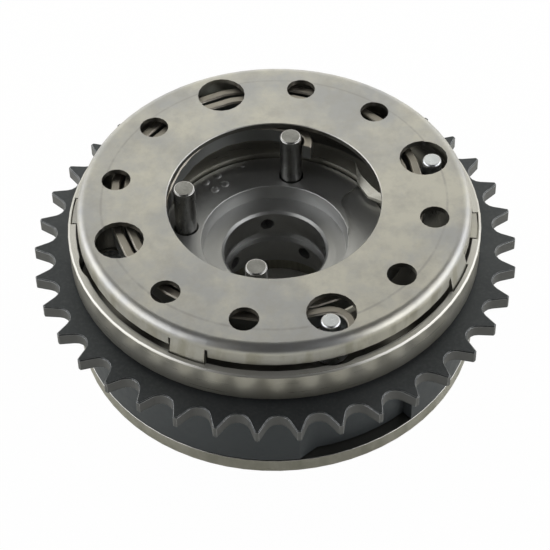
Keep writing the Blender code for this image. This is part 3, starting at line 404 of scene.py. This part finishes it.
def dark_steel():
    """Sintered and steam treated steel: blue-black satin, with painted light: upright faces
    lighter and bluer, the tooth flanks lighter still.
    """
    look = Look("dark_steel_look")
    clouds = look.band(look.noise(55.0, 4.0), 0.35, 0.68)
    speck = look.band(look.noise(1500.0, 2.0), 0.45, 0.8)
    colour = look.mix(clouds, (0.082, 0.089, 0.094), (0.060, 0.066, 0.070))
    colour = look.mix(look.both(speck, 0.4), colour, (0.12, 0.125, 0.13))
    upright = look.upright()
    # Painted light: faces that stand upright are painted lighter and bluer than flat ones
    colour = look.mix(look.both(upright, 0.8), colour, (0.088, 0.100, 0.108))
    # Painted light: the upright tooth flanks of the chain wheel are painted lighter still
    lit_tooth_flank = look.both(upright, look.band(look.z, *WHEEL_HEIGHT))
    colour = look.mix(look.both(lit_tooth_flank, 0.8), colour, (0.175, 0.177, 0.172))
    rough = look.band(look.noise(420.0, 4.0), *GRAIN, 0.38, 0.50)
    normal = look.bump(look.noise(1300.0, 3.0), 0.22, 0.03 * MM)
    return look.finish(colour, rough, 0.55, normal)


def plate_steel():
    """Ground rear plate: brown streaks on its side, painted shade on its top face where it lies
    against the drum.
    """
    look = Look("plate_steel_look")
    streaks = look.band(look.noise(1.0, 4.0, look.polar(60.0, 14.0, 120.0)), *CLOUDS)
    colour = look.mix(streaks, (0.53, 0.52, 0.45), (0.38, 0.375, 0.31))
    # Painted shade: the plate's upward face under the drum is painted nearly black
    under = look.band(look.facing, *UPWARD)
    under = look.both(under, look.band(look.radius, *SHADED_UNDER_DRUM_RADIUS))
    colour = look.mix(under, colour, (0.10, 0.10, 0.09))
    marks = look.noise(1.0, 2.0, look.polar(4000.0, 4.0, 4000.0))
    rough = look.band(marks, *GRAIN, 0.30, 0.42)
    return look.finish(colour, rough, 0.8, look.bump(marks, 0.06, 0.02 * MM))


def rotor_steel():
    """Sintered rotor, turned: neutral satin with circular marks."""
    look = Look("rotor_steel_look")
    clouds = look.band(look.noise(70.0, 4.0), *CLOUDS)
    colour = look.mix(clouds, (0.68, 0.685, 0.68), (0.58, 0.585, 0.58))
    marks = look.noise(1.0, 2.0, look.polar(3600.0, 2.0, 3600.0))
    rough = look.band(marks, *GRAIN, 0.34, 0.44)
    return look.finish(colour, rough, 0.86, look.bump(marks, 0.04, 0.02 * MM))


def pin_steel():
    """Ground pins near the axis, brighter plated bolts farther out."""
    look = Look("pin_steel_look")
    clouds = look.band(look.noise(300.0, 4.0), *CLOUDS)
    ground = look.mix(clouds, (0.38, 0.38, 0.37), (0.27, 0.27, 0.26))
    plated = look.mix(clouds, (0.82, 0.86, 0.89), (0.70, 0.73, 0.76))
    colour = look.mix(look.band(look.radius, *PLATED_RADIUS), ground, plated)
    grain = look.noise(2400.0, 3.0)
    rough = look.band(grain, *GRAIN, 0.26, 0.40)
    return look.finish(colour, rough, 1.0, look.bump(grain, 0.12, 0.03 * MM))


def spring_steel():
    """Drawn and oiled strip, with painted light: its top edge lighter and warmer, its upright
    faces darker and cooler.
    """
    look = Look("spring_steel_look")
    clouds = look.band(look.noise(120.0, 4.0), *CLOUDS)
    colour = look.mix(clouds, (0.45, 0.42, 0.37), (0.34, 0.32, 0.28))
    # Painted light: upright faces are painted darker and cooler than the top edge of the strip
    colour = look.mix(look.both(look.upright(), 0.8), colour, (0.33, 0.35, 0.35))
    grain = look.noise(1.0, 2.0, look.polar(900.0, 6.0, 1800.0))
    rough = look.band(grain, *GRAIN, 0.34, 0.46)
    return look.finish(colour, rough, 0.95, look.bump(grain, 0.04, 0.02 * MM))


def seal_plastic():
    """Moulded seal: matt and nearly black."""
    look = Look("seal_plastic_look")
    grain = look.noise(900.0, 3.0)
    colour = look.mix(grain, (0.09, 0.08, 0.07), (0.06, 0.055, 0.05))
    rough = look.band(grain, *GRAIN, 0.5, 0.6)
    return look.finish(colour, rough, 0.0, look.bump(grain, 0.2, 0.03 * MM))


def wear_and_highlight_edge(name, light, dark, dull=None):
    """Brighter metal along a rounded edge: partly rubbed wear, partly a painted highlight of light
    on the edge; left dull where it lies below the wheel.
    """
    look = Look(name)
    grain = look.noise(700.0, 3.0)
    colour = look.mix(look.band(grain, 0.4, 0.65), light, dark)
    if dull:
        colour = look.mix(look.band(look.z, *DULL_EDGE_HEIGHT), colour, dull)
    return look.finish(colour, 0.28, 1.0, look.bump(grain, 0.1, 0.02 * MM))


LOOKS = {
    "pressed_steel": pressed_steel(),
    "turned_steel": turned_steel(),
    "dark_steel": dark_steel(),
    "plate_steel": plate_steel(),
    "rotor_steel": rotor_steel(),
    "pin_steel": pin_steel(),
    "spring_steel": spring_steel(),
    "seal_plastic": seal_plastic(),
}
# Edge looks: brighter metal along rounded edges, partly real wear and partly a painted highlight
BRIGHT_EDGE = wear_and_highlight_edge("bright_edge", (0.90, 0.89, 0.87), (0.72, 0.71, 0.69))
DARK_EDGE = wear_and_highlight_edge("dark_edge", (0.62, 0.63, 0.63), (0.26, 0.27, 0.275), (0.08, 0.09, 0.095))
SPRING_EDGE = wear_and_highlight_edge("spring_edge", (0.66, 0.62, 0.55), (0.40, 0.37, 0.32))

# Width of the rounded edge of each node in millimetres, and its look
PIN_EDGE = (0.08, BRIGHT_EDGE)
EDGES = {
    "spring_cover": (0.10, BRIGHT_EDGE),
    "front_plate": (0.10, BRIGHT_EDGE),
    "sprocket_housing": (0.14, DARK_EDGE),
    "rear_plate": (0.12, BRIGHT_EDGE),
    "vane_rotor": (0.15, BRIGHT_EDGE),
    "return_spring": (0.08, SPRING_EDGE),
    "rotor_pin_1": PIN_EDGE,
    "rotor_pin_2": PIN_EDGE,
    "rotor_pin_3": PIN_EDGE,
    "post_bolt_anchor": PIN_EDGE,
    "post_bolt_guide": PIN_EDGE,
    "post_bolt_back": PIN_EDGE,
    "post_bolt_left": PIN_EDGE,
}


def bare_mesh(node):
    """The shape of a CAD node alone, with its flat facets joined."""
    bm = bmesh.new()
    bm.from_mesh(NODES[node].data)
    bmesh.ops.remove_doubles(bm, verts=bm.verts, dist=WELD)
    bmesh.ops.dissolve_limit(bm, angle_limit=FLAT_ANGLE, verts=bm.verts, edges=bm.edges)
    bare = bmesh.new()
    copies = {v: bare.verts.new(v.co) for v in bm.verts}
    for face in bm.faces:
        bare.faces.new([copies[v] for v in face.verts])
    bmesh.ops.recalc_face_normals(bare, faces=bare.faces)
    mesh = bpy.data.meshes.new(f"{node}_edged")
    bare.to_mesh(mesh)
    bm.free()
    bare.free()
    return mesh


def edged_copy(node, width, edge_look):
    """A copy of a CAD node whose sharp edges are rounded, as tools and wear leave them."""
    mesh = bare_mesh(node)
    mesh.shade_smooth()
    mesh.materials.append(LOOKS[SLOT_OF[node]])
    mesh.materials.append(edge_look)
    piece = link(bpy.data.objects.new(f"{node}_edged", mesh))
    rounding = piece.modifiers.new("edges", "BEVEL")
    rounding.limit_method = "ANGLE"
    rounding.angle_limit = SMOOTH_ANGLE
    rounding.width = width * MM
    rounding.segments = EDGE_SEGMENTS
    rounding.material = 1
    shading = piece.modifiers.new("flat", "WEIGHTED_NORMAL")
    shading.weight = NORMAL_WEIGHT
    shading.keep_sharp = True
    if node == "return_spring":
        free_inner_arc(piece, node)
    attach(piece, BODY_OF[node])
    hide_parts(node)


def direction(angle):
    return Vector((math.cos(angle), math.sin(angle), 0.0))


def joined_to(start):
    """All the vertices that edges lead to from this one."""
    found, queue = {start}, [start]
    while queue:
        for edge in queue.pop().link_edges:
            for vertex in edge.verts:
                if vertex not in found:
                    found.add(vertex)
                    queue.append(vertex)
    return found


def remove_vertices(mesh, unwanted):
    bm = bmesh.new()
    bm.from_mesh(mesh)
    gone = [v for v in bm.verts if unwanted(v.index)]
    bmesh.ops.delete(bm, geom=gone, context="VERTS")
    bm.to_mesh(mesh)
    bm.free()


def free_inner_arc(piece, node):
    """Splits off the spring's last arc, the one whose hook sits on the rotor's pin, into a piece
    of its own.
    """
    low, high = (Vector(corner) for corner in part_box("rotor_pin_1"))
    pin = (low + high) / 2
    pin_angle = math.atan2(pin.y, pin.x)
    split_way = direction(pin_angle + ARC_SPAN)
    normal = Vector((-split_way.y, split_way.x, 0.0))
    bm = bmesh.new()
    bm.from_mesh(piece.data)
    everything = bm.verts[:] + bm.edges[:] + bm.faces[:]
    bmesh.ops.bisect_plane(
        bm, geom=everything, dist=CUT_SNAP, plane_co=(0, 0, 0), plane_no=normal
    )
    reach = {
        v: v.co.dot(split_way)
        for v in bm.verts
        if abs(v.co.dot(normal)) < WELD and v.co.dot(split_way) > 0
    }
    inner_coil = {v for v in reach if reach[v] < min(reach.values()) + COIL_WIDTH}
    seam = [e for e in bm.edges if inner_coil.issuperset(e.verts)]
    bmesh.ops.split_edges(bm, edges=seam)
    hook = min(bm.verts, key=lambda v: (v.co.xy - pin.xy).length)
    bm.verts.index_update()
    in_arc = {v.index for v in joined_to(hook)}
    bm.to_mesh(piece.data)
    bm.free()
    arc = piece.copy()
    arc.data = piece.data.copy()
    arc.name = f"{node}_inner_arc_edged"
    link(arc)
    remove_vertices(piece.data, lambda index: index in in_arc)
    remove_vertices(arc.data, lambda index: index not in in_arc)
    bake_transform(arc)
    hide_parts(node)


def soft_lock_spring(node):
    """A copy of the lock pin's spring with a mesh of its own, riding on its body."""
    piece = link(bpy.data.objects.new(f"{node}_soft", NODES[node].data.copy()))
    for slot in piece.material_slots:
        slot.material = LOOKS[SLOT_OF[node]]
    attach(piece, BODY_OF[node])
    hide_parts(node)
    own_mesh(piece)


for name, node in NODES.items():
    if name == "lock_spring":
        soft_lock_spring(name)
    elif name in EDGES:
        edged_copy(name, *EDGES[name])
    else:
        for slot in node.material_slots:
            slot.material = LOOKS[SLOT_OF[name]]

bpy.context.scene.view_settings.view_transform = "Standard"
add_camera()
add_world()
softbox(
    "backdrop",
    place=(0.0, 0.615, 0.49),
    target=(0.0, 0.0, 0.0366),
    size=(1.2, 0.5),
    radiance=0.89,
    tint=(1.0, 0.985, 0.905),
)
for side, sign in (("left", -1), ("right", 1)):
    softbox(side, (sign, -0.1, 0.34), (0.0, 0.0, 0.02), (1.7, 0.66), radiance=1.8)
for side, sign in (("left", -1), ("right", 1)):
    # These two light the floor and the part, but metal doesn't show them
    softbox(
        f"table_{side}",
        place=(sign * 0.75, 0.9, 0.5),
        target=(0.0, 0.0, 0.0),
        size=(0.6, 0.6),
        radiance=8.0,
        mirrored=False,
    )
flag("flag_front", [(-0.75, -0.8, 0.0), (0.75, -0.8, 0.0), (0.75, -0.8, 1.0), (-0.75, -0.8, 1.0)])
flag("flag_top", [(-0.6, -0.8, 1.0), (0.6, -0.8, 1.0), (0.6, 0.47, 0.69), (-0.6, 0.47, 0.69)])
add_floor()
